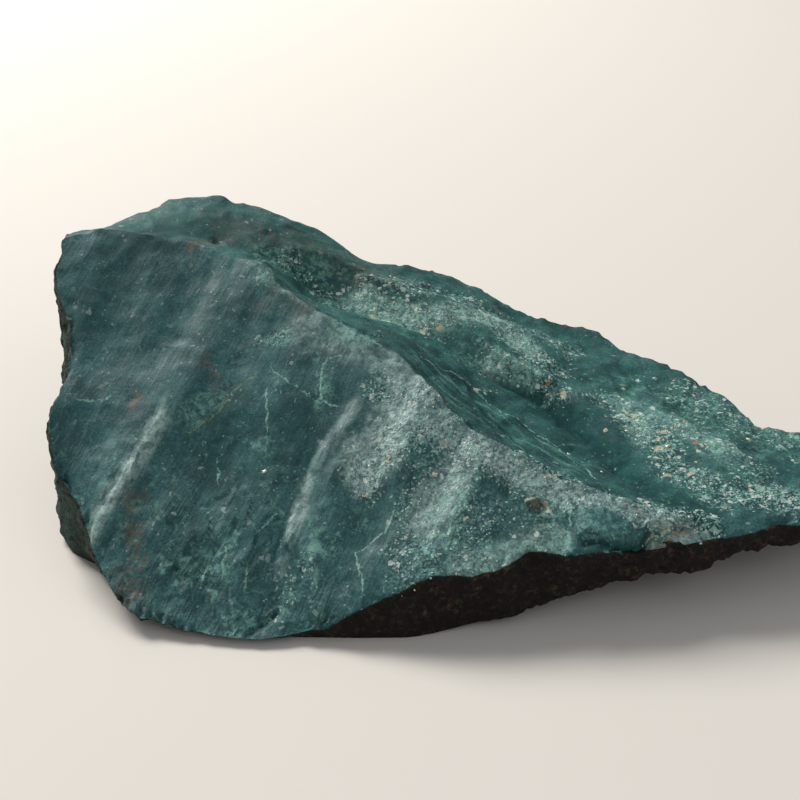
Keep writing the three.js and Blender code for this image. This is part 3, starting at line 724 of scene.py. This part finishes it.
fine_grains, fine_lot = quartz(0.26, crystals * 0.30 * wisps.rise(0.36, 0.60) + 0.003)
grains, lot = quartz(0.6, crystals * (0.12 + 0.18 * back) * crumbs.rise(0.38, 0.58))
large_grains, large_lot = quartz(0.95, crystals * (0.05 + 0.04 * back) - 0.02)
mosaic = crystals * (fine_lot.rise(0.5, 0.9) - fine_lot.fall(0.1, 0.4) * 0.6)
colour = skin.over(colour, skin.over(MINT, FROST, lot), mosaic * 0.45)
colour = skin.over(colour, NIGHT_GREEN, (0 - mosaic) * 0.7)
colour = skin.over(colour, skin.over(FROST, MILK, fine_lot), fine_grains * 0.7)
grain_paint = skin.over(skin.over(MINT, MILK, lot.rise(0.2, 0.5)), CREAM, lot.rise(0.93, 0.95))
colour = skin.over(colour, grain_paint, grains * 0.75)
large_paint = skin.over(skin.over(FROST, CREAM, large_lot.rise(0.6, 0.7)), AMBER, large_lot.rise(0.95, 0.97))
colour = skin.over(colour, large_paint, large_grains * 0.6)

# Stains, and the old rind over all the rest, painted near black, so that it is also painted shade under the rim and
# on faces turned down
rusty = skin.measure("rust") * crumbs.rise(0.38, 0.60)
colour = skin.over(colour, RUST, rusty * 0.7)

rind_and_shade_paint = skin.over(BARK_AND_SHADE, BROWN, crumbs.rise(0.44, 0.66) * wisps.rise(0.36, 0.56))
rind_and_shade_paint = skin.over(rind_and_shade_paint, OLIVE, wisps.rise(0.52, 0.66) * crumbs.rise(0.46, 0.62) * 0.5)
end_paint = skin.over(skin.over(OLIVE, MOSS, patches.rise(0.42, 0.56)), BARK_AND_SHADE, crumbs.fall(0.36, 0.50) * 0.8)
rind_and_shade_paint = skin.over(rind_and_shade_paint, end_paint, skin.measure("thick_end"))
rind_and_shade_paint = skin.over(rind_and_shade_paint, RUST, crumbs.rise(0.60, 0.72) * 0.35)
rind_edge = (rind + (patches - 0.5) * 0.9 + (crumbs - 0.5) * 0.6).rise(0.42, 0.58)
colour = skin.over(colour, rind_and_shade_paint, rind_edge)

shine = 0.46 + 0.12 * patches + 0.12 * back + 0.10 * grain
shine = shine - milk_and_sheen * 0.08 + rind * 0.3 + dark_and_shade * 0.3 - fine_grains * 0.2
height = (grain - 0.5) * (0.05 - 0.03 * front + 0.08 * (crystals + rind))
height = height + (streaks - 0.5) * (0.07 * front + 0.12 * rough)
height = height + (crumbs - 0.5) * (0.08 - 0.05 * front + 0.06 * rough + 0.25 * rind)
bumps = skin.node("ShaderNodeBump", {}, {"Height": height, "Distance": MM, "Strength": 1.0}, "Normal")

skin.feed("Base Color", colour)
skin.feed("Roughness", shine)
skin.feed("Normal", bumps)
stone.data.materials.clear()
stone.data.materials.append(skin.material)

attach(stone, "root")
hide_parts("jasper")

# ---------------------------------------------------------------------------
# The quartz grains: tiny milky and iron-stained crystals that grew in the drusy
# patches. They sit half sunk in the broken skin and catch the light.
# ---------------------------------------------------------------------------
GRAIN_COUNT = 900
GRAIN_SIZES = [0.10, 0.14, 0.18, 0.26, 0.45]  # half widths
GRAIN_ODDS = [40, 30, 18, 9, 1]
GRAIN_SEED = 5
TIP = 52.5  # no grain lies past this, at either end
# Single larger crystals: x, y, half width and tint (from 0 green to 1 cream)
LARGE_GRAINS = [
    (9.9, -7.9, 0.5, 0.7), (14.3, -4.5, 0.6, 0.95), (16.9, -4.2, 0.6, 0.7), (21.5, -3.9, 0.7, 0.95),
    (20.7, 10, 0.6, 0.7), (23.2, 11.2, 0.5, 0.5), (18.1, 7.5, 0.5, 0.7), (24.6, -1.1, 0.6, 0.95),
    (26.4, -5.5, 0.5, 0.7), (13.2, -12.3, 0.4, 0.95), (21.3, -11.9, 0.45, 0.95), (21.5, -6.8, 0.5, 0.95),
    (24.4, -9.6, 0.4, 0.95), (-7.6, 16.1, 0.5, 0.7), (-5.1, 19.1, 0.5, 0.6), (-12.9, 15.7, 0.4, 0.7),
    (0.2, 1.6, 0.4, 0.7), (4.3, 4.2, 0.35, 0.7), (32, -3, 0.6, 0.95), (-25.6, -13.6, 0.5, 0.7),
]

chooser = random.Random(GRAIN_SEED)
grounds = [(place, normal, full) for place, normal, full in crystal_ground if full > 0.35]
grain_mesh = bmesh.new()
tint_store = grain_mesh.verts.layers.float.new("tint")
planned = []
odds = [full**2 for place, normal, full in grounds]
for place, normal, full in chooser.choices(grounds, odds, k=GRAIN_COUNT):
    size = chooser.choices(GRAIN_SIZES, GRAIN_ODDS)[0] * chooser.uniform(0.8, 1.2)
    planned.append((place, normal, size, chooser.random()))
for x, y, size, tint in LARGE_GRAINS:
    place, normal, _ = min(crystal_ground, key=lambda spot: math.hypot(spot[0].x - x, spot[0].y - y))
    planned.append((place, normal, size, tint))
for place, normal, size, tint in planned:
    angle = chooser.uniform(0.0, math.tau)
    turn = Matrix.Rotation(angle, 4, Vector([chooser.uniform(-1, 1) for k in range(3)]))
    squash = Matrix.Diagonal([size * chooser.uniform(0.6, 1.0) for k in range(3)] + [1.0])
    lift = place - normal * (0.4 * size)
    if not -TIP < lift.x < TIP:
        continue
    made = bmesh.ops.create_icosphere(
        grain_mesh, subdivisions=1, radius=MM, matrix=Matrix.Translation(lift * MM) @ turn @ squash
    )
    for vertex in made["verts"]:
        vertex[tint_store] = tint
grain_data = bpy.data.meshes.new("quartz_grains")
grain_mesh.to_mesh(grain_data)
grain_mesh.free()
grains_piece = bpy.data.objects.new("quartz_grains", grain_data)
bpy.context.scene.collection.objects.link(grains_piece)

quartz_skin = Finish("quartz")
quartz_skin.surface.inputs["Specular IOR Level"].default_value = 0.6
tint = quartz_skin.measure("tint")
quartz_colour = quartz_skin.over(PALE_TEAL, FROST, tint.rise(0.1, 0.6))
quartz_colour = quartz_skin.over(quartz_colour, MILK, tint.rise(0.6, 0.8))
quartz_colour = quartz_skin.over(quartz_colour, CREAM, tint.rise(0.88, 0.92))
quartz_colour = quartz_skin.over(quartz_colour, PALE_TEAL, quartz_skin.cloud(0.3).rise(0.45, 0.65) * 0.5)
quartz_skin.feed("Base Color", quartz_colour)
quartz_skin.feed("Roughness", 0.18 + 0.3 * quartz_skin.cloud(0.5))
grain_data.materials.append(quartz_skin.material)

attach(grains_piece, "root")

# ---------------------------------------------------------------------------
# The stage: a plain pale floor and surround. A large soft light stands behind the
# stone at the left, as a window does, and a weak one fills its front.
# ---------------------------------------------------------------------------
FLOOR_COLOUR = (0.70, 0.66, 0.60, 1)
FLOOR_HALF_WIDTH = 3.0
SURROUND_COLOUR = (0.92, 0.95, 1.0, 1)
SURROUND_STRENGTH = 0.32
WINDOW_PLACE, WINDOW_WIDTH, WINDOW_POWER = (-0.52, 0.60, 0.66), 0.42, 13.0
FILL_PLACE, FILL_WIDTH, FILL_POWER = (0.30, -0.40, 0.35), 0.40, 0.5
LIT_POINT = (0, 0, 0.01)

floor_shape = bmesh.new()
bmesh.ops.create_grid(floor_shape, x_segments=1, y_segments=1, size=FLOOR_HALF_WIDTH)
floor_mesh = bpy.data.meshes.new("floor")
floor_shape.to_mesh(floor_mesh)
floor_shape.free()
floor = bpy.data.objects.new("floor", floor_mesh)
bpy.context.scene.collection.objects.link(floor)
floor_paint = bpy.data.materials.new("floor_paint")
floor_paint.use_nodes = True
floor_surface = floor_paint.node_tree.nodes["Principled BSDF"]
floor_surface.inputs["Base Color"].default_value = FLOOR_COLOUR
floor_surface.inputs["Roughness"].default_value = 0.8
floor_mesh.materials.append(floor_paint)

surround = bpy.data.worlds.new("surround")
surround.use_nodes = True
sky = surround.node_tree.nodes["Background"]
sky.inputs["Color"].default_value = SURROUND_COLOUR
sky.inputs["Strength"].default_value = SURROUND_STRENGTH
bpy.context.scene.world = surround


def soft_light(name, place, width, power, colour):
    """A square soft box at a place, turned to the stone."""
    lamp = bpy.data.lights.new(name, "AREA")
    lamp.shape = "SQUARE"
    lamp.size = width
    lamp.energy = power
    lamp.color = colour
    holder = bpy.data.objects.new(name, lamp)
    holder.location = place
    holder.rotation_euler = (Vector(LIT_POINT) - Vector(place)).to_track_quat("-Z", "Y").to_euler()
    bpy.context.scene.collection.objects.link(holder)


soft_light("window", WINDOW_PLACE, WINDOW_WIDTH, WINDOW_POWER, (1.0, 0.98, 0.95))
soft_light("fill", FILL_PLACE, FILL_WIDTH, FILL_POWER, (0.95, 0.97, 1.0))
bpy.context.scene.view_settings.view_transform = "Standard"
